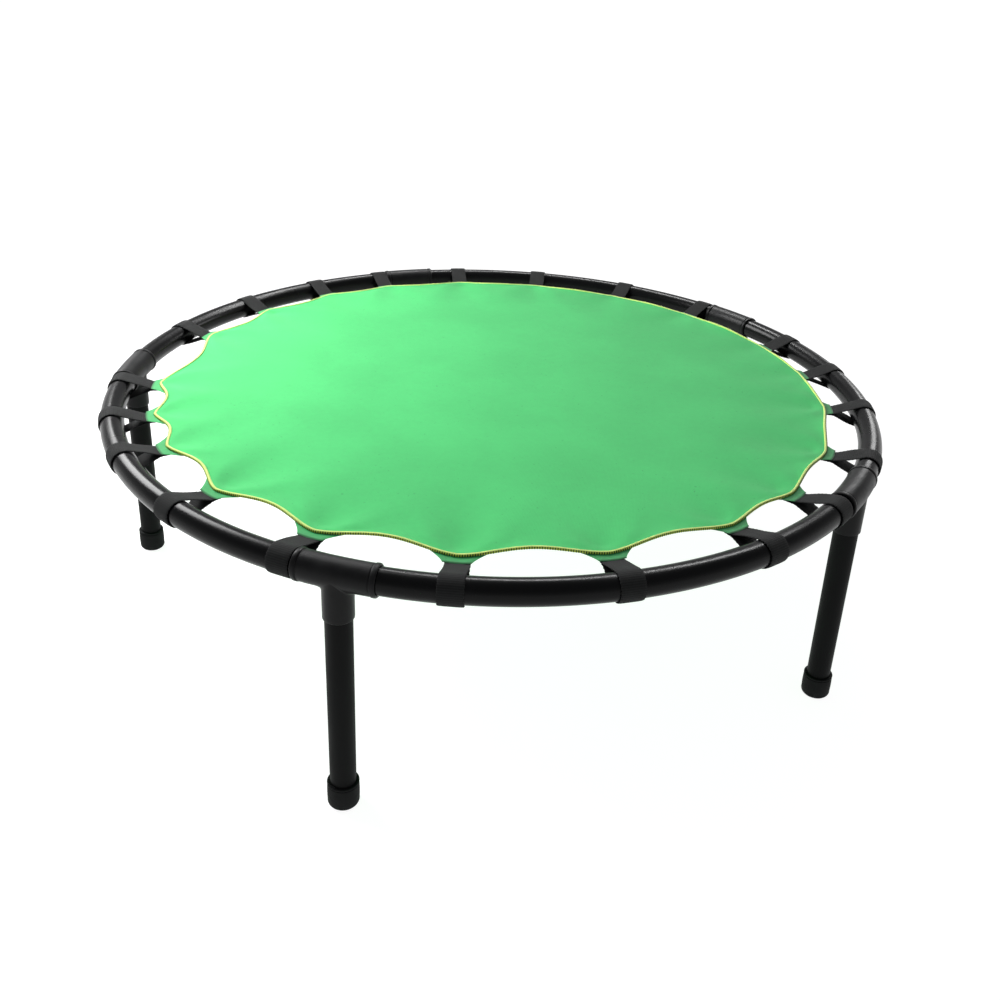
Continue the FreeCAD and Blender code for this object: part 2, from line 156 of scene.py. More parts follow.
class TrampolineSizes(bpy.types.PropertyGroup):
    """Sizes of the finer detail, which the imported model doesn't carry."""
    webbing_width: length("Webbing width", "Width of the straps", 20 * MM)
    webbing_thickness: length("Webbing thickness", "Thickness of one ply of a strap", 1.5 * MM)
    rib_pitch: length("Rib pitch", "Distance between the cross ribs of the webbing", 1.7 * MM)
    scallop: length("Scallop", "How far the mat's edge draws in between two evenly spaced straps", 10 * MM)
    mat_sag: length("Mat sag", "How far the middle of the mat hangs below its edge", 2.5 * MM)
    ripple: length("Ripple", "Depth of the tension hollows that run in from the straps", 2.6 * MM)
    curl: length("Curl", "How far the free edge of the mat turns up between straps", 2.0 * MM)
    overlock_width: length("Overlock width", "Width of the sewn edge", 3.5 * MM)
    stitch_pitch: length("Stitch pitch", "Distance between the overlock stitches", 2.0 * MM)


class TrampolineColours(bpy.types.PropertyGroup):
    """Colours of the finishes."""
    rim_paint: colour("Rim paint", "Gloss paint of the bent tubes", (0.0018, 0.0020, 0.0022))
    tee_plastic: colour("Tee plastic", "Moulded tee fittings", (0.0038, 0.0040, 0.0042))
    leg_paint: colour("Leg paint", "Satin paint of the legs", (0.0032, 0.0035, 0.0035))
    boot_rubber: colour("Boot rubber", "Rubber feet", (0.0045, 0.005, 0.005))
    webbing: colour("Webbing", "Woven straps", (0.0085, 0.0092, 0.0092))
    mat_cloth: colour("Mat cloth", "Smooth knit of the jumping mat", (0.074, 0.60, 0.170))
    edge_thread: colour("Edge thread", "Bright overlock thread", (0.74, 0.97, 0.22))
    tab_cloth: colour("Tab cloth", "Knit tabs that hold the straps", (0.035, 0.36, 0.10))
    floor: colour("Floor", "Pale studio floor", (0.3, 0.3, 0.3))


# ---------------------------------------------------------------- surfaces on grids
def mesh_piece(name, patches, material, crease=35):
    """One mesh from surfaces given on grids of points.

    A patch is (points, wrap_rows, wrap_columns, uv).  Each row is joined to the next one and each column to
    the next one; a wrapped direction also joins its last line to its first.  uv has one line more in a
    wrapped direction, so that a pattern runs on over the join.  Points in the same place are merged, which
    closes poles and seams, and then all faces are turned outwards.
    """
    corners, faces, marks, count = [], [], [], 0
    for points, wrap_rows, wrap_columns, uv in patches:
        rows, columns = points.shape[:2]
        row, column = np.meshgrid(np.arange(rows - (not wrap_rows)),
                                  np.arange(columns - (not wrap_columns)), indexing="ij")
        row = np.stack([row, row + 1, row + 1, row], -1).reshape(-1, 4)
        column = np.stack([column, column, column + 1, column + 1], -1).reshape(-1, 4)
        faces.append(count + row % rows * columns + column % columns)
        marks.append(np.zeros(row.shape + (2,)) if uv is None else uv[row, column])
        corners.append(points.reshape(-1, 3))
        count += rows * columns
    mesh = bpy.data.meshes.new(name)
    mesh.from_pydata(np.concatenate(corners).tolist(), [], np.concatenate(faces).tolist())
    layer = mesh.uv_layers.new(name="pattern")
    layer.data.foreach_set("uv", np.concatenate(marks).ravel())
    shell = bmesh.new()
    shell.from_mesh(mesh)
    bmesh.ops.remove_doubles(shell, verts=shell.verts, dist=1e-6)
    bmesh.ops.recalc_face_normals(shell, faces=shell.faces)
    shell.to_mesh(mesh)
    shell.free()
    mesh.shade_smooth()
    mesh.set_sharp_from_angle(angle=math.radians(crease))
    mesh.materials.append(material)
    piece = bpy.data.objects.new(name, mesh)
    bpy.context.scene.collection.objects.link(piece)
    return piece


def stand_in(piece, nodes, body=None):
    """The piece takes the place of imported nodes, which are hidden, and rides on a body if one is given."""
    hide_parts(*nodes)
    if body:
        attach(piece, body)
    return piece


def polyline(*stretches):
    """Points of a profile: each stretch is an array of (a, b) rows, put one after the other."""
    return np.concatenate([np.atleast_2d(np.array(stretch, float)) for stretch in stretches])


def arc_rows(centre, radius, first, last, steps=5):
    """Part of a circle as (a, b) rows, from one angle to another in degrees."""
    turn = np.radians(np.linspace(first, last, steps))
    return np.stack([centre[0] + radius * np.cos(turn), centre[1] + radius * np.sin(turn)], -1)


def unit_rows(rows):
    """Rows scaled to a length of 1."""
    return rows / np.linalg.norm(rows, axis=1)[:, None]


def far_along(line):
    """Distance along a line of (a, b) rows from its first row to each row."""
    return np.concatenate([[0], np.cumsum(np.hypot(*np.diff(line, axis=0).T))])


def headings(turn):
    """Directions outwards and sideways at an angle about Z."""
    out = np.array([math.cos(turn), math.sin(turn), 0.0])
    return out, np.cross(UP, out)


def along_rim(profile, middle=0.0, sides=56):
    """Surface that a circle leaves as it moves along the rim.

    profile has rows of (distance along the rim from the middle angle, radius of the circle there).
    """
    turn = middle + profile[:, :1] / RIM_RADIUS
    around = np.linspace(0, TAU, sides, endpoint=False)
    out = RIM_RADIUS + profile[:, 1:] * np.cos(around)
    up = RIM_HEIGHT + profile[:, 1:] * np.sin(around)
    return np.stack([out * np.cos(turn), out * np.sin(turn), up], -1)


def leg_axes(turn):
    """Point on the rim's centre line over a leg, and the leg's directions down, outwards and sideways."""
    out, sideways = headings(turn)
    top = out * RIM_RADIUS + UP * RIM_HEIGHT
    down = out * math.sin(LEG_LEAN) - UP * math.cos(LEG_LEAN)
    across = out * math.cos(LEG_LEAN) + UP * math.sin(LEG_LEAN)
    return top, down, across, sideways


def about_leg(turn, depth, radius):
    """Surface round a leg's axis: depth below the rim's centre line and radius, as (rows, sides) arrays."""
    top, down, across, sideways = leg_axes(turn)
    around = np.linspace(0, TAU, radius.shape[1], endpoint=False)[None, :, None]
    depth, radius = depth[..., None], radius[..., None]
    return top + depth * down + radius * (np.cos(around) * across + np.sin(around) * sideways)


def turned_on_leg(turn, profile, sides=48):
    """Surface of revolution about a leg's axis from (depth, radius) rows."""
    ones = np.ones(sides)
    return about_leg(turn, profile[:, :1] * ones, profile[:, 1:] * ones)


# ---------------------------------------------------------------- shader maths
class Signal:
    """A value that changes over a surface: one output of a shader node.

    Arithmetic on signals and numbers adds Math nodes; node() adds any other kind.
    """

    def __init__(self, tree, socket=None):
        self.tree = tree
        self.socket = socket

    def node(self, kind, settings=None, sockets=None, output=0):
        """Adds a node, makes its settings, fills its sockets and returns one of its outputs."""
        made = self.tree.nodes.new("ShaderNode" + kind)
        for name, value in (settings or {}).items():
            if name == "stops":
                ramp = made.color_ramp.elements
                while len(ramp) < len(value):
                    ramp.new(0.5)
                for stop, (place, shade) in zip(ramp, value):
                    stop.position, stop.color = place, (*shade, 1.0)
            else:
                setattr(made, name, value)
        for name, value in (sockets or {}).items():
            if isinstance(value, Signal):
                self.tree.links.new(value.socket, made.inputs[name])
            elif hasattr(value, "__len__") and made.inputs[name].type == "RGBA":
                made.inputs[name].default_value = (*value, 1.0)
            else:
                made.inputs[name].default_value = value
        return Signal(self.tree, made.outputs[output])

    def maths(self, operation, *values):
        """A Math node."""
        return self.node("Math", {"operation": operation}, dict(enumerate(values)))

    def __add__(self, other):
        return self.maths("ADD", self, other)

    __radd__ = __add__

    def __sub__(self, other):
        return self.maths("SUBTRACT", self, other)

    def __rsub__(self, other):
        return self.maths("SUBTRACT", other, self)

    def __mul__(self, other):
        return self.maths("MULTIPLY", self, other)

    def step(self, low, high):
        """0 below low, 1 above high, and a smooth rise between them."""
        return self.node("MapRange", {"interpolation_type": "SMOOTHSTEP"},
                         {"Value": self, "From Min": low, "From Max": high})

    def wave(self):
        """0 to 1 and back once for each whole number that the signal passes."""
        return self.maths("COSINE", self * TAU) * -0.5 + 0.5

    def blend(self, low, high):
        """Colour that is low where the signal is 0 and high where it is 1."""
        return self.node("Mix", {"data_type": "RGBA"}, {0: self, 6: low, 7: high}, 2)


class Finish:
    """A material in the making: its coordinates, its noise and the shader it ends in."""

    def __init__(self, name):
        self.material = bpy.data.materials.new(name)
        self.material.use_nodes = True
        tree = self.material.node_tree
        tree.nodes.clear()
        self.root = Signal(tree)
        self.place = self.root.node("TexCoord", output=3)

    def noise(self, scale, detail=2.0, rough=0.5):
        """Cloudy pattern, from 0 to 1, with about so many lumps a metre."""
        return self.root.node("TexNoise", {}, {"Vector": self.place, "Scale": scale, "Detail": detail,
                                               "Roughness": rough})

    def axis(self, number, vector=None):
        """One coordinate of the place on the piece: 0 is x, 1 is y, 2 is z."""
        return self.root.node("SeparateXYZ", {}, {0: vector or self.place}, number)

    def pattern(self, number):
        """One coordinate of the piece's own pattern map."""
        return self.axis(number, self.root.node("UVMap", {"uv_map": "pattern"}))

    def end(self, shade, rough, height=None, lift=0.0, **constants):
        """Joins colour, roughness and surface height to the shader, with its constant sockets."""
        shader = self.root.node("BsdfPrincipled", {},
                                {"Base Color": shade, "Roughness": rough, **constants})
        if height is not None:
            bump = self.root.node("Bump", {}, {"Height": height, "Strength": 1.0, "Distance": lift})
            self.root.tree.links.new(bump.socket, shader.socket.node.inputs["Normal"])
        out = self.root.tree.nodes.new("ShaderNodeOutputMaterial")
        self.root.tree.links.new(shader.socket, out.inputs["Surface"])
        return self.material


def scaled(shade, factor):
    """A colour made lighter or darker."""
    return tuple(min(1.0, part * factor) for part in shade)


def gloss_paint(shade):
    """Black stove enamel: nearly even, with a faint orange peel, dull smears and a little dust."""
    make = Finish("gloss_paint")
    smear = make.noise(14, 4, 0.6).step(0.45, 0.75)
    dust = make.noise(900, 3, 0.7).step(0.68, 0.76) * make.noise(30, 2).step(0.4, 0.7)
    return make.end(dust.blend(shade, scaled(shade, 9)), smear * 0.08 + 0.25, make.noise(420, 1), 0.04 * MM,
                    **{"Specular IOR Level": 0.12})


def moulded_plastic(shade):
    """Semi-gloss black moulding with a fine spark-eroded grain and rubbed patches."""
    make = Finish("moulded_plastic")
    rub = make.noise(35, 4, 0.6).step(0.4, 0.7)
    grain = make.noise(1500, 2)
    return make.end(rub.blend(shade, scaled(shade, 1.7)), rub * 0.14 + 0.36, grain, 0.06 * MM,
                    **{"Specular IOR Level": 0.13})


def satin_paint(shade):
    """Satin powder coat: small even pimples and slight clouding."""
    make = Finish("satin_paint")
    cloud = make.noise(22, 4, 0.55).step(0.35, 0.7)
    return make.end(cloud.blend(shade, scaled(shade, 1.5)), cloud * 0.12 + 0.46, make.noise(1100, 2),
                    0.07 * MM, **{"Specular IOR Level": 0.06})


def boot_rubber(shade):
    """Matt rubber, greyed and scuffed towards the floor."""
    make = Finish("boot_rubber")
    low = 1 - make.axis(2).step(0.002, 0.012)
    scuff = make.noise(160, 5, 0.65).step(0.42, 0.62)
    grey = low * scuff * 0.8 + scuff * 0.15
    return make.end(grey.blend(shade, scaled(shade, 3.2)), scuff * 0.1 + 0.66, make.noise(900, 3), 0.1 * MM,
                    **{"Specular IOR Level": 0.1})


def webbing_weave(shade):
    """Woven polyester: cross ribs of thick yarn and fine lengthwise ends, with painted shade in the valleys
    between them.
    """
    make = Finish("webbing_weave")
    along, across = make.pattern(0), make.pattern(1)
    rib = along.wave()
    yarn = (across * 26 + along * 0.5).wave()
    wear = make.noise(120, 3).step(0.35, 0.7)
    # tone: the rib and yarn waves are painted shade that darkens the weave's valleys; wear is random tone
    tone = rib * 0.45 + yarn * 0.3 + wear * 0.25
    return make.end(tone.blend(scaled(shade, 0.62), scaled(shade, 1.38)), 0.86 - rib * 0.08,
                    rib * 0.55 + yarn * 0.45, 0.18 * MM,
                    **{"Sheen Weight": 0.03, "Sheen Roughness": 0.5, "Specular IOR Level": 0.15})


def mat_knit(shade):
    """Smooth stretch knit: soft clouds of tone, flecks of lint and very fine wales."""
    make = Finish("mat_knit")
    cloud = make.noise(9, 3, 0.5).step(0.3, 0.7)
    mottle = make.noise(160, 4, 0.65)
    lint = make.noise(420, 2, 0.5).step(0.70, 0.76)
    wale = (make.axis(0) * 900 + make.noise(60, 2) * 0.6).wave()
    course = (make.axis(1) * 700).wave()
    tone = cloud * 0.35 + mottle * 0.5 + wale * course * 0.15
    body = tone.blend(scaled(shade, 0.86), scaled(shade, 1.12))
    return make.end(lint.blend(body, scaled(shade, 0.62)), 0.78 + mottle * 0.1,
                    wale * course + mottle * 1.5, 0.1 * MM,
                    **{"Sheen Weight": 0.06, "Sheen Roughness": 0.45, "Specular IOR Level": 0.15})


def overlock_thread(shade):
    """Bright thread laid over the mat's edge, olive on the outer side where the loops lock, painted shade in the
    gaps.
    """
    make = Finish("overlock_thread")
    along, around = make.pattern(0), make.pattern(1)
    side = around.step(0.33, 0.42) * (1 - around.step(0.74, 0.84))
    loop = along.wave()
    strand = (along * 4 + around * 6).wave()
    top = strand.blend(scaled(shade, 0.78), scaled(shade, 1.08))
    # tooth: olive loops, with painted shade, nearly black, in the gaps between them
    tooth = loop.step(0.3, 0.6).blend((0.015, 0.05, 0.012), (0.50, 0.68, 0.07))
    return make.end(side.blend(top, tooth), 0.62 + strand * 0.1, strand * 0.4 + loop * 0.6, 0.12 * MM,
                    **{"Sheen Weight": 0.2, "Specular IOR Level": 0.3})


def tab_knit(shade):
    """Darker green knit, with painted shade along its rolled outer edge."""
    make = Finish("tab_knit")
    # edge: painted shade, a dark band along the tab's rolled outer edge
    edge = 1 - make.pattern(0).step(0.02, 0.12)
    mottle = make.noise(220, 4, 0.6)
    body = mottle.blend(scaled(shade, 0.8), scaled(shade, 1.25))
    return make.end(edge.blend(body, scaled(shade, 0.35)), 0.82 - mottle * 0.1, mottle, 0.15 * MM,
                    **{"Sheen Weight": 0.15, "Specular IOR Level": 0.2})


def studio_floor(shade):
    """Pale matt floor, barely uneven."""
    make = Finish("studio_floor")
    cloud = make.noise(2, 3)
    return make.end(cloud.blend(scaled(shade, 0.985), shade), 0.9 + cloud * 0.05, cloud, 0.5 * MM,
                    **{"Specular IOR Level": 0.0, "Emission Color": (1.0, 1.0, 1.0),
                       "Emission Strength": 0.92})


# ---------------------------------------------------------------- rim and legs
def bent_tube(node, number, material):
    """Bent tube of the rim: a ring-shaped wall from one tee's stop to the next."""
    first, last = span(node)
    half = (last - first) / 2 * RIM_RADIUS
    bevel = 0.3 * MM
    inner = TUBE_RADIUS - TUBE_WALL
    run = np.linspace(-half + bevel, half - bevel, 150)
    outside = np.stack([run, np.full(run.size, TUBE_RADIUS)], -1)
    inside = np.stack([run[::-1], np.full(run.size, inner)], -1)
    profile = polyline(outside, [(half, TUBE_RADIUS - bevel), (half, inner)], inside[::3],
                       [(-half, inner), (-half, TUBE_RADIUS - bevel)])
    points = along_rim(profile, (first + last) / 2)
    piece = mesh_piece("bent_tube_%d" % number, [(points, True, True, None)], material)
    return stand_in(piece, [node], "frame")


def barrel_profile():
    """Half of a tee's barrel: from its stop web out to its end, and back over bead and groove to the middle."""
    half, stop = BARREL_HALF, STOP_HALF
    bead, rise, edge = 4 * MM, 0.55 * MM, 0.6 * MM
    across = np.linspace(0, math.pi, 13)
    swell = np.stack([half - edge - (bead - edge) * (1 - np.cos(across)) / 2,
                      BARREL_RADIUS + 0.15 * MM + (rise - 0.15 * MM) * np.sin(across) ** 0.6], -1)
    groove = np.stack([half - bead - np.array([0.25, 0.5, 0.8, 1.1, 1.4]) * MM,
                       BARREL_RADIUS - np.array([0.1, 0.45, 0.5, 0.4, 0.0]) * MM], -1)
    body = np.linspace(half - bead - 2 * MM, 0, 14)
    bore = np.linspace(stop, half - edge, 8)
    return polyline([(stop, 0), (stop, BORE_RADIUS * 0.5)], np.stack([bore, np.full(8, BORE_RADIUS)], -1),
                    [(half, BORE_RADIUS + edge), (half, BARREL_RADIUS - 0.3 * MM)], swell, groove,
                    np.stack([body, np.full(body.size, BARREL_RADIUS)], -1))


def socket_rows(sides=72):
    """Depth and radius, as (rows, sides), of a tee's leg socket.

    Round the leg's axis the barrel's wall lies at depth sqrt(barrel radius^2 - (radius cos turn)^2).  The
    socket starts on that saddle inside the barrel's wall, runs out through a fillet that fades where the two
    walls are side by side, goes down to its lip, and comes back up its bore to the flat floor.
    """
    turn = np.linspace(0, TAU, sides, endpoint=False)
    ones = np.ones(sides)
    buried = BARREL_RADIUS - 0.9 * MM

    def saddle(radius, shell):
        """Depth at which a wall of some radius meets a barrel of radius shell."""
        return np.sqrt(np.maximum(shell ** 2 - (radius * np.cos(turn)) ** 2, 0))

    depths, radii = [buried * ones], [0 * ones]
    for share in (0.35, 0.7, 0.95):
        radius = SOCKET_RADIUS * share * ones
        depths.append(saddle(radius, buried))
        radii.append(radius)
    round_off = 3.0 * MM * np.abs(np.sin(turn)) ** 1.5
    radius = SOCKET_RADIUS + round_off
    depths.append(np.maximum(saddle(radius, BARREL_RADIUS) - 0.5 * MM, 0))
    radii.append(radius)
    for step in np.radians(np.linspace(0, 90, 8)):
        radius = SOCKET_RADIUS + round_off * (1 - math.sin(step))
        depths.append(saddle(radius, BARREL_RADIUS) + round_off * (1 - math.cos(step)))
        radii.append(radius)
    lip = polyline(arc_rows((SOCKET_END - 0.5 * MM, SOCKET_RADIUS - 0.5 * MM), 0.5 * MM, 90, 0, 4),
                   arc_rows((SOCKET_END - 0.3 * MM, SOCKET_BORE + 0.3 * MM), 0.3 * MM, 0, -90, 3),
                   [(SOCKET_FLOOR, SOCKET_BORE), (SOCKET_FLOOR, SOCKET_BORE / 2), (SOCKET_FLOOR, 0)])
    last = depths[-1]
    for share in np.linspace(0.2, 0.95, 4):
        depths.append(last + (SOCKET_END - 1.5 * MM - last) * share)
        radii.append(SOCKET_RADIUS * ones)
    for depth, radius in lip:
        depths.append(depth * ones)
        radii.append(radius * ones)
    return np.array(depths), np.array(radii)


def tee_fitting(node, number, turn, material):
    """Moulded tee: a barrel bent with the rim, with a bead at each end, and a socket for the leg."""
    half = barrel_profile()
    other = (half * [-1, 1])[::-1]
    barrel = along_rim(polyline(half, other[1:]), turn)
    socket = about_leg(turn, *socket_rows())
    patches = [(barrel, False, True, None), (socket, False, True, None)]
    piece = mesh_piece("tee_fitting_%d" % number, patches, material)
    return stand_in(piece, [node], "frame")


def leg_piece(number, turn, material):
    """Straight leg tube, from the socket's floor to inside the boot."""
    outer, inner, bevel = LEG_RADIUS, LEG_RADIUS - LEG_WALL, 0.4 * MM
    start, end = SOCKET_FLOOR + 0.2 * MM, LEG_LENGTH - CAP_FLOOR
    run = np.linspace(start + bevel, end - bevel, 24)
    profile = polyline(np.stack([run, np.full(run.size, outer)], -1), [(end, outer - bevel), (end, inner)],
                       [(start, inner), (start, outer - bevel)])
    piece = mesh_piece("leg_%d_pipe" % number, [(turned_on_leg(turn, profile), True, True, None)], material)
    return stand_in(piece, ["leg_tube_%d" % number], "leg_%d" % number)


def boot_piece(number, turn, material):
    """Rubber boot: a cup with a rolled top edge, a slight belly and a level sole."""
    outer, inner = CAP_RADIUS, LEG_RADIUS
    rise = np.linspace(4.6, 22.2, 14) * MM
    belly = outer - 0.15 * MM + 0.25 * MM * np.sin((rise - rise[0]) / (rise[-1] - rise[0]) * math.pi)
    rows = polyline([(0, 0), (0, 5 * MM)], arc_rows((5 * MM, outer - 5 * MM), 5 * MM, 180, 95, 9),
                    np.stack([rise, belly], -1),
                    [(22.6 * MM, outer - 0.75 * MM), (22.9 * MM, outer - 0.75 * MM),
                     (23.2 * MM, outer - 0.1 * MM)],
                    arc_rows((CAP_HEIGHT - 0.9 * MM, outer - 0.9 * MM), 0.9 * MM, 90, 0, 5),
                    [(CAP_HEIGHT, inner + 0.5 * MM), (CAP_HEIGHT - 0.4 * MM, inner), (CAP_FLOOR, inner),
                     (CAP_FLOOR, 0)])
    points = turned_on_leg(turn, np.stack([LEG_LENGTH - rows[:, 0], rows[:, 1]], -1))
    points[..., 2] = np.maximum(points[..., 2], 0)
    piece = mesh_piece("boot_%d" % number, [(points, False, True, None)], material)
    return stand_in(piece, ["foot_cap_%d" % number], "leg_%d" % number)


# ---------------------------------------------------------------- straps
def strap_line(thickness):
    """Middle line of a webbing loop, in the plane through the rim's axis, as rows of (outwards, up).

    It leaves the tab on the lower ply, meets the tube on a tangent, goes round its outside and comes back on
    the upper ply.
    """
    circle = TUBE_RADIUS + 0.15 * MM + thickness / 2
    reach, tail, ply = STRAP_REACH, 12 * MM, thickness / 2 + 0.02 * MM
    lean = math.asin(circle / math.hypot(reach, ply)) - math.atan2(ply, reach)
    arc = np.linspace(-math.pi / 2 - lean, math.pi / 2 + lean, 60)
    round_tube = circle * np.stack([np.cos(arc), np.sin(arc)], -1)
    return polyline([(-reach - tail, -ply), (-reach, -ply)], round_tube,
                    [(-reach, ply), (-reach - tail, ply)])


def eased_strap(sizes):
    """A strap's middle line in steps of a quarter of a rib, with its corners eased, and the distance along it."""
    line = strap_line(sizes.webbing_thickness)
    far = far_along(line)
    place = np.linspace(0, far[-1], round(far[-1] / sizes.rib_pitch) * 4 + 1)
    fine = np.linspace(0, far[-1], 400)
    path = np.stack([np.interp(fine, far, line[:, 0]), np.interp(fine, far, line[:, 1])], -1)
    ease = np.ones(9) / 9
    for axis in (0, 1):
        padded = np.pad(path[:, axis], 8, mode="reflect", reflect_type="odd")
        path[:, axis] = np.convolve(np.convolve(padded, ease, "same"), ease, "same")[8:-8]
    return place, np.stack([np.interp(place, fine, path[:, 0]), np.interp(place, fine, path[:, 1])], -1)


def strap_piece(number, node, turn, sizes, material, lean):
    """Webbing loop: a flat oval section with cross ribs, carried along the strap's line.

    lean has how far the upper and the lower ply drift sideways towards the tab, and how they bank.
    """
    thickness, width = sizes.webbing_thickness, sizes.webbing_width
    place, path = eased_strap(sizes)
    ahead = unit_rows(np.gradient(path, axis=0))
    normal = np.stack([ahead[:, 1], -ahead[:, 0]], -1)
    upper = np.clip(path[:, 1] / (5 * MM), -1, 1)
    inward = np.clip(-path[:, 0] / STRAP_REACH, 0, 1)
    drift = np.where(upper > 0, lean[0], lean[1]) * inward * np.abs(upper) ** 0.5
    free = np.sin(math.pi * inward) ** 2
    bank = np.where(upper > 0, lean[2], lean[3]) * free
    around = np.linspace(0, TAU, 22, endpoint=False)
    side = np.sign(np.cos(around)) * np.abs(np.cos(around)) ** 0.45
    flat = np.sign(np.sin(around)) * np.abs(np.sin(around)) ** 0.55
    phase = TAU * place / sizes.rib_pitch
    rib = 1 + 0.04 * np.cos(phase)[:, None] * (np.abs(side) < 0.97)
    out_side = thickness / 2 * flat * rib
    wide = width / 2 * side * (1 - 0.02 * np.cos(phase / 2)[:, None])
    cup = bank[:, None] * wide
    out = RIM_RADIUS + path[:, :1] + normal[:, :1] * (out_side + cup)
    up = RIM_HEIGHT + path[:, 1:] + normal[:, 1:] * (out_side + cup)
    sideways = wide + drift[:, None]
    radial, tangent = headings(turn)
    points = out[..., None] * radial + sideways[..., None] * tangent + up[..., None] * UP
    ends = points.mean(1, keepdims=True) * np.ones_like(points)
    points = np.concatenate([ends[:1], points, ends[-1:]])
    rows = np.concatenate([place[:1], place, place[-1:]]) / sizes.rib_pitch
    columns = np.append(side, side[0]) * 0.5 + 0.5
    uv = np.stack(np.meshgrid(rows, columns, indexing="ij"), -1)
    piece = mesh_piece("webbing_%02d" % number, [(points, False, True, uv)], material)
    stand_in(piece, [node])
    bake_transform(piece)
    return piece


# ---------------------------------------------------------------- mat
ORDER = np.sort(STRAP_TURNS % TAU)
NEXT = np.append(ORDER[1:], ORDER[0] + TAU)
TIGHT_SIDE = math.radians(187)
STITCH_SAMPLES = 4


def between_straps(turn):
    """For each angle: how far it is from one strap to the next, 0 to 1, and that gap against an even one."""
    turn = (np.asarray(turn) - ORDER[0]) % TAU + ORDER[0]
    index = np.clip(np.searchsorted(ORDER, turn, side="right") - 1, 0, ORDER.size - 1)
    gap = NEXT[index] - ORDER[index]
    return (turn - ORDER[index]) / gap, gap / (TAU / ORDER.size)


def edge_outline(turn, scallop):
    """Radius of the mat's finished edge: full at each strap and drawn in between them by a power of a sine.

    It draws in more on the side where the straps were pulled tighter.
    """
    share, gap = between_straps(turn)
    tight = 0.95 + 0.5 * np.cos(turn - TIGHT_SIDE)
    return EDGE_RADIUS - scallop * tight * np.minimum(gap, 1.35) * np.abs(np.sin(math.pi * share)) ** 1.45


def mat_lift(turn, reach, sizes):
    """Height of the mat over its flat place, at an angle and a distance from the middle.

    The middle sags, the free edge turns up between straps, and from each strap, which pulls from below, a
    hollow with a ridge on each side runs inwards, widening and fading.  Near the middle only the sag is left.
    """
    share, gap = between_straps(turn)
    inset = np.maximum(edge_outline(turn, sizes.scallop) - reach, 0)
    sag = -sizes.mat_sag * np.clip(1 - (reach / (EDGE_RADIUS - sizes.scallop)) ** 2, 0, 1)
    free = np.sin(math.pi * share) ** 2
    loose = 1.1 - 0.6 * np.cos(turn - TIGHT_SIDE)
    curl = sizes.curl * loose * free * np.minimum(gap, 1.3) * np.exp(-inset / (11 * MM))
    out = np.clip(reach / (0.5 * EDGE_RADIUS), 0, 1) ** 3
    total = sag + curl * out
    start = np.clip((inset - 3 * MM) / (12 * MM), 0, 1)
    start = start * start * (3 - 2 * start)
    draw = np.random.default_rng(7)
    for middle in ORDER:
        high, fade, slant = draw.uniform(0.6, 1.25), draw.uniform(38, 80) * MM, draw.uniform(-0.10, 0.10)
        away = ((turn - middle + math.pi) % TAU - math.pi) * reach + slant * inset
        wide = 9 * MM + 0.24 * inset
        shape = 0.55 * np.exp(-((np.abs(away) - 1.9 * wide) / wide) ** 2) - np.exp(-(away / wide) ** 2)
        total = total + sizes.ripple * high * shape * start * np.exp(-inset / fade) * out
    return total


def mat_piece(sizes, material):
    """Jumping mat: a thin stretched disc on a polar grid, closed round its edge."""
    columns = 25 * ORDER.size
    turn = np.linspace(0, TAU, columns, endpoint=False)
    share = 1 - (1 - np.linspace(0, 1, 66)) ** 1.6
    edge = edge_outline(turn, sizes.scallop) - 1.2 * MM
    mean = edge.mean()
    reach = share[:, None] * (mean + (edge - mean) * share[:, None] ** 4)
    lift = mat_lift(turn * np.ones_like(reach), reach, sizes)
    x, y = reach * np.cos(turn), reach * np.sin(turn)
    over = np.stack([x, y, MAT_BOTTOM + MAT_THICKNESS + lift], -1)
    under = np.stack([x, y, MAT_BOTTOM + lift], -1)
    points = np.concatenate([over, under[::-1]])
    piece = mesh_piece("jumping_mat", [(points, False, True, None)], material, crease=60)
    stand_in(piece, ["mat"], "mat")
    area = float((edge ** 2).mean() * math.pi)
    return piece, area


def edge_path(sizes):
    """Angles of samples that are evenly spaced along the mat's outline, some to each stitch."""
    fine = np.linspace(0, TAU, 8401)
    radius = edge_outline(fine, sizes.scallop)
    far = far_along(np.stack([radius * np.cos(fine), radius * np.sin(fine)], -1))
    samples = round(far[-1] / sizes.stitch_pitch) * STITCH_SAMPLES
    return np.interp(np.linspace(0, far[-1], samples, endpoint=False), far, fine)


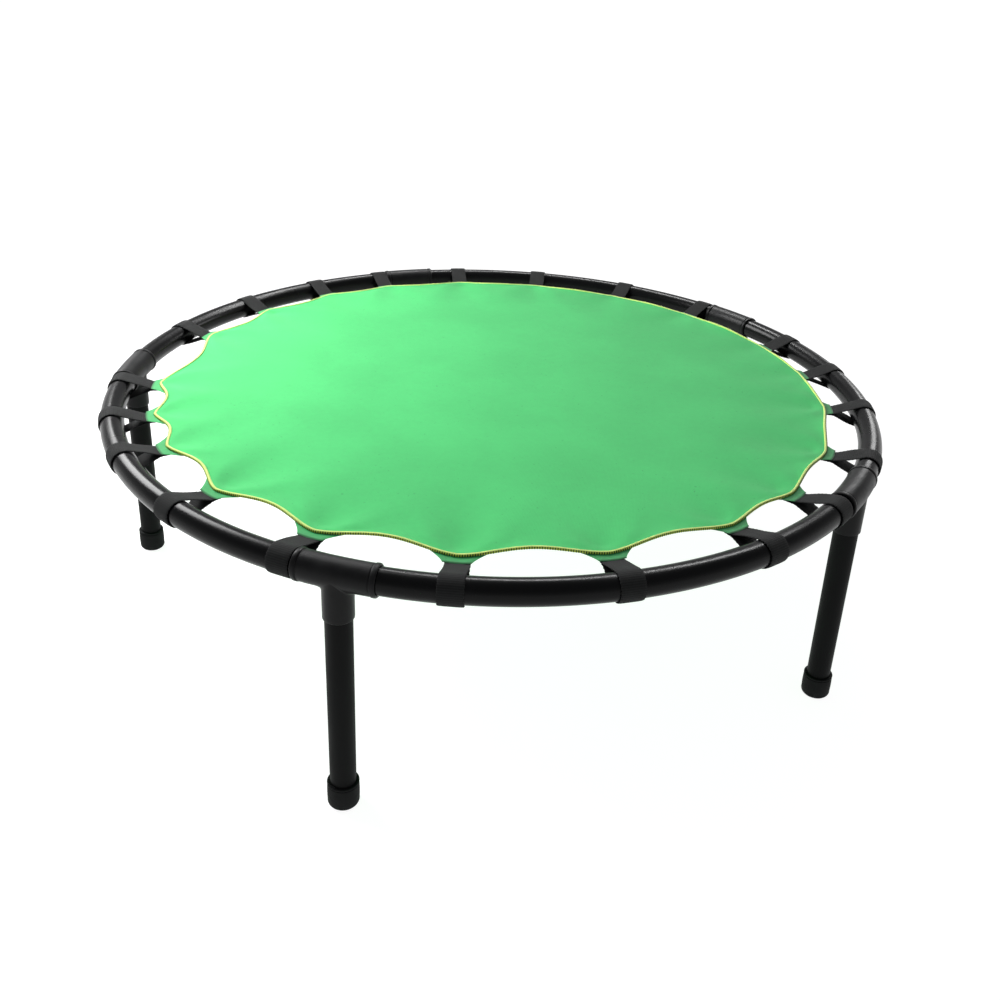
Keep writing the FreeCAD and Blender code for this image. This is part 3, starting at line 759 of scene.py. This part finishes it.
def overlock_piece(sizes, material):
    """Overlocked edge: a rounded band with a bump for each thread and a tooth for each lock stitch."""
    turn = edge_path(sizes)
    radius = edge_outline(turn, sizes.scallop)
    x, y = radius * np.cos(turn), radius * np.sin(turn)
    ahead = np.stack([np.roll(x, -6) - np.roll(x, 6), np.roll(y, -6) - np.roll(y, 6)], -1)
    ahead = unit_rows(ahead)
    outward = np.stack([ahead[:, 1], -ahead[:, 0]], -1)
    lift = mat_lift(turn, radius, sizes)
    wide = sizes.overlock_width / (4 * MM)
    section = np.array([(-3.2, 1.3), (-3.1, 1.8), (-2.6, 2.1), (-1.9, 2.2), (-1.25, 2.1), (-0.75, 1.85),
                        (-0.3, 1.45), (0.0, 0.9), (-0.05, 0.3), (-0.5, -0.15), (-1.2, -0.25), (-2.6, -0.25),
                        (-3.1, 0.1)]) * MM
    weight = np.array([0, 0.3, 1, 1, 1.2, 2.0, 3.0, 3.2, 2.4, 1.2, 0.8, 0.5, 0]) * 0.1 * MM
    phase = np.arange(turn.size) / STITCH_SAMPLES
    slope = section[:, 0] / (2.5 * MM) * 0.5
    bump = np.cos(TAU * (phase[:, None] + slope)) * weight
    away = unit_rows(section - section.mean(0))
    out = section[:, 0] * wide + away[:, 0] * bump
    up = section[:, 1] + away[:, 1] * bump
    points = np.stack([x[:, None] + outward[:, :1] * out, y[:, None] + outward[:, 1:] * out,
                       MAT_BOTTOM + lift[:, None] + up], -1)
    rows = np.arange(turn.size + 1) / STITCH_SAMPLES
    uv = np.stack(np.meshgrid(rows, np.linspace(0, 1, len(section) + 1), indexing="ij"), -1)
    piece = mesh_piece("overlock_edge", [(points, True, True, uv)], material, crease=80)
    return stand_in(piece, ["edge_trim"], "mat")


def tabs_piece(sizes, material):
    """Knit tabs: each is a thin closed pad that flares from the webbing's width to its root under the mat."""
    patches = []
    grid_in, grid_side = np.meshgrid(np.linspace(0, 1, 26), np.linspace(-1, 1, 15), indexing="ij")
    inset = grid_in * 22 * MM
    half = 11.3 * MM + 12 * MM * np.clip(grid_in * 1.5, 0, 1) ** 1.35
    bow = 0.8 * MM * (1 - grid_side ** 2)
    out = TAB_OUTER + bow - 0.4 * MM - inset
    side = half * grid_side
    round_edge = np.sqrt(np.clip(1 - np.clip(1 - inset / (0.9 * MM), 0, 1) ** 2, 0.02, 1))
    round_side = np.sqrt(np.clip(1 - (np.abs(grid_side) ** 14), 0.02, 1))
    hem = 1 + 0.25 * np.exp(-((inset - 1.2 * MM) / (0.9 * MM)) ** 2)
    thick = 0.40 * MM * round_edge * round_side * hem
    uv = np.stack([grid_in, grid_side * 0.5 + 0.5], -1)
    loop_uv = np.concatenate([uv, uv[:, ::-1], uv[:, :1]], 1)
    for turn in STRAP_TURNS:
        lift = mat_lift(turn + np.arctan2(side, out), np.hypot(out, side), sizes)
        middle = MAT_BOTTOM - 0.72 * MM + lift
        radial, tangent = headings(turn)
        flat = out[..., None] * radial + side[..., None] * tangent
        rim_under, rim_over = flat.copy(), flat.copy()
        rim_under[..., 2] = middle - thick
        rim_over[..., 2] = middle + thick
        loop = np.concatenate([rim_over, rim_under[:, ::-1]], 1)
        head = loop[:1].mean(1, keepdims=True) * np.ones_like(loop[:1])
        foot = loop[-1:].mean(1, keepdims=True) * np.ones_like(loop[:1])
        patches.append((np.concatenate([head, loop, foot]), False, True,
                        np.concatenate([loop_uv[:1], loop_uv, loop_uv[-1:]])))
    piece = mesh_piece("knit_tabs", patches, material, crease=60)
    return stand_in(piece, ["strap_tabs"], "mat")


# ---------------------------------------------------------------- stage
def aim_camera():
    """Camera that looks down on the rim from in front of the first leg, turned a little and rolled."""
    orbit, rise, distance = math.radians(7.42), math.radians(22.684), 2.558 * RIM_RADIUS
    pan, tilt, roll = -0.62, -7.467, -2.301
    place = Vector((0, -distance * math.cos(rise), distance * math.sin(rise)))
    ahead = -place.normalized()
    right = Vector((1, 0, 0))
    up = right.cross(ahead)
    for angle, axis in ((pan, "up"), (tilt, "right"), (roll, "ahead")):
        turn = Matrix.Rotation(math.radians(angle), 3, {"up": up, "right": right, "ahead": ahead}[axis])
        ahead, right, up = turn @ ahead, turn @ right, turn @ up
    pose = Matrix((right, up, -ahead)).transposed().to_4x4()
    pose.translation = place
    lens = bpy.data.cameras.new("camera")
    lens.sensor_width = 36.0
    lens.lens = 32.54
    lens.clip_start = 0.05
    camera = bpy.data.objects.new("camera", lens)
    bpy.context.scene.collection.objects.link(camera)
    camera.matrix_world = Matrix.Translation((0, 0, RIM_HEIGHT)) @ Matrix.Rotation(orbit, 4, "Z") @ pose
    bpy.context.scene.camera = camera


def soft_light(name, place, target, wide, tall, power, diffuse=True, glossy=True):
    """Rectangular soft box that points at a target; it can be left out of diffuse light or of reflections."""
    lamp = bpy.data.lights.new(name, "AREA")
    lamp.shape = "RECTANGLE"
    lamp.size, lamp.size_y, lamp.energy = wide, tall, power
    light = bpy.data.objects.new(name, lamp)
    bpy.context.scene.collection.objects.link(light)
    aim = (Vector(target) - Vector(place)).to_track_quat("-Z", "Y")
    light.matrix_world = Matrix.Translation(place) @ aim.to_matrix().to_4x4()
    light.visible_camera = False
    light.visible_diffuse = diffuse
    light.visible_glossy = glossy


def sky():
    """Even studio light, brightest at the horizon."""
    world = bpy.data.worlds.new("studio")
    world.use_nodes = True
    world.node_tree.nodes.clear()
    root = Signal(world.node_tree)
    high = root.node("SeparateXYZ", {}, {0: root.node("TexCoord", output=0)}, 2)
    dome = high.step(0.0, 0.6).blend((0.66, 0.66, 0.66), (0.28, 0.28, 0.29))
    shade = high.step(0.0, 0.14).blend((1.0, 1.0, 1.0), dome)
    light = root.node("Background", {}, {"Color": shade, "Strength": 1.0})
    out = world.node_tree.nodes.new("ShaderNodeOutputWorld")
    world.node_tree.links.new(light.socket, out.inputs["Surface"])
    bpy.context.scene.world = world


def studio(floor_shade):
    """Pale floor, soft lights, sky and camera."""
    ring = np.array([0.001, 0.6, 1.5, 4.0, 20.0, 400.0])[:, None]
    turn = np.linspace(0, TAU, 64, endpoint=False)
    points = np.stack([ring * np.cos(turn), ring * np.sin(turn), 0 * ring * turn], -1)
    floor = mesh_piece("studio_floor", [(points, False, True, None)], studio_floor(floor_shade))
    sky()
    sun = bpy.data.lights.new("daylight", "SUN")
    sun.energy, sun.angle = 0.36, math.radians(18)
    lamp = bpy.data.objects.new("daylight", sun)
    bpy.context.scene.collection.objects.link(lamp)
    lamp.matrix_world = Vector((0.55, -0.75, -1.35)).to_track_quat("-Z", "Y").to_matrix().to_4x4()
    soft_light("left_box", (-1.0, 0.45, 1.0), (-0.1, 0.0, 0.2), 0.6, 0.6, 22, diffuse=False)
    soft_light("left_fill", (-0.85, 0.12, 0.72), (-0.35, 0.0, 0.2), 0.5, 0.5, 15, glossy=False)
    soft_light("right_box", (0.90, 1.18, 0.80), (0.3, 0.0, 0.2), 0.42, 0.30, 4, diffuse=False)
    soft_light("back_strip", (0.25, 1.35, 1.85), (0.0, 0.0, 0.2), 1.8, 0.14, 55, diffuse=False)
    bpy.context.scene.view_settings.view_transform = "Standard"
    aim_camera()


# ---------------------------------------------------------------- operators
class StageOperator(bpy.types.Operator):
    """Puts up the floor, the lights and the camera"""
    bl_idname = "trampoline.stage"
    bl_label = "Studio"

    def execute(self, context):
        studio(context.scene.trampoline_colours.floor)
        return {"FINISHED"}


class RimOperator(bpy.types.Operator):
    """Makes the bent tubes of the rim"""
    bl_idname = "trampoline.rim"
    bl_label = "Rim tubes"

    def execute(self, context):
        paint = gloss_paint(context.scene.trampoline_colours.rim_paint)
        for number, node in enumerate(TUBE_NODES, start=1):
            bent_tube(node, number, paint)
        return {"FINISHED"}


class TeeOperator(bpy.types.Operator):
    """Makes the moulded tees that join the rim tubes and hold the legs"""
    bl_idname = "trampoline.tees"
    bl_label = "Tee fittings"

    def execute(self, context):
        plastic = moulded_plastic(context.scene.trampoline_colours.tee_plastic)
        for number, (node, turn) in enumerate(zip(TEE_NODES, TEE_TURNS), start=1):
            tee_fitting(node, number, turn, plastic)
        return {"FINISHED"}


class LegOperator(bpy.types.Operator):
    """Makes the leg tubes"""
    bl_idname = "trampoline.legs"
    bl_label = "Legs"

    def execute(self, context):
        paint = satin_paint(context.scene.trampoline_colours.leg_paint)
        for number, turn in enumerate(TEE_TURNS, start=1):
            leg_piece(number, turn, paint)
        return {"FINISHED"}


class BootOperator(bpy.types.Operator):
    """Makes the rubber boots on the legs"""
    bl_idname = "trampoline.boots"
    bl_label = "Boots"

    def execute(self, context):
        rubber = boot_rubber(context.scene.trampoline_colours.boot_rubber)
        for number, turn in enumerate(TEE_TURNS, start=1):
            boot_piece(number, turn, rubber)
        return {"FINISHED"}


class StrapOperator(bpy.types.Operator):
    """Makes the webbing loops between the rim and the mat"""
    bl_idname = "trampoline.straps"
    bl_label = "Straps"

    def execute(self, context):
        weave = webbing_weave(context.scene.trampoline_colours.webbing)
        draw = np.random.default_rng(21)
        for number, (node, turn) in enumerate(zip(STRAP_NODES, STRAP_TURNS), start=1):
            lean = np.concatenate([draw.uniform(-2.2, 2.2, 2) * MM, draw.uniform(-0.10, 0.10, 2)])
            strap_piece(number, node, turn, context.scene.trampoline_sizes, weave, lean)
        return {"FINISHED"}


class MatOperator(bpy.types.Operator):
    """Makes the jumping mat, its overlocked edge and the tabs that hold the straps"""
    bl_idname = "trampoline.mat"
    bl_label = "Mat"

    def execute(self, context):
        sizes, colours = context.scene.trampoline_sizes, context.scene.trampoline_colours
        cloth, area = mat_piece(sizes, mat_knit(colours.mat_cloth))
        edge = overlock_piece(sizes, overlock_thread(colours.edge_thread))
        tabs = tabs_piece(sizes, tab_knit(colours.tab_cloth))
        return {"FINISHED"}


PIECE_OPERATORS = (RimOperator, TeeOperator, LegOperator, BootOperator, StrapOperator, MatOperator)


class TrampolinePanel(bpy.types.Panel):
    """Lists the sizes, the colours and the operators"""
    bl_idname = "VIEW3D_PT_trampoline"
    bl_label = "Trampoline"
    bl_space_type = "VIEW_3D"
    bl_region_type = "UI"
    bl_category = "Trampoline"

    def draw(self, context):
        for group in (context.scene.trampoline_sizes, context.scene.trampoline_colours):
            for name in group.__annotations__:
                self.layout.prop(group, name)
        for operator in (StageOperator, *PIECE_OPERATORS):
            self.layout.operator(operator.bl_idname)


CLASSES = (TrampolineSizes, TrampolineColours, StageOperator, *PIECE_OPERATORS, TrampolinePanel)


def register():
    """Adds the classes and hangs the two groups of settings on the scene."""
    for made in CLASSES:
        bpy.utils.register_class(made)
    bpy.types.Scene.trampoline_sizes = bpy.props.PointerProperty(type=TrampolineSizes)
    bpy.types.Scene.trampoline_colours = bpy.props.PointerProperty(type=TrampolineColours)


def unregister():
    """Takes away what register added."""
    del bpy.types.Scene.trampoline_colours
    del bpy.types.Scene.trampoline_sizes
    for made in reversed(CLASSES):
        bpy.utils.unregister_class(made)


def main():
    """Builds the stage and every piece."""
    register()
    bpy.ops.trampoline.stage()
    bpy.ops.trampoline.rim()
    bpy.ops.trampoline.tees()
    bpy.ops.trampoline.legs()
    bpy.ops.trampoline.boots()
    bpy.ops.trampoline.straps()
    bpy.ops.trampoline.mat()


if __name__ == "__main__":
    main()
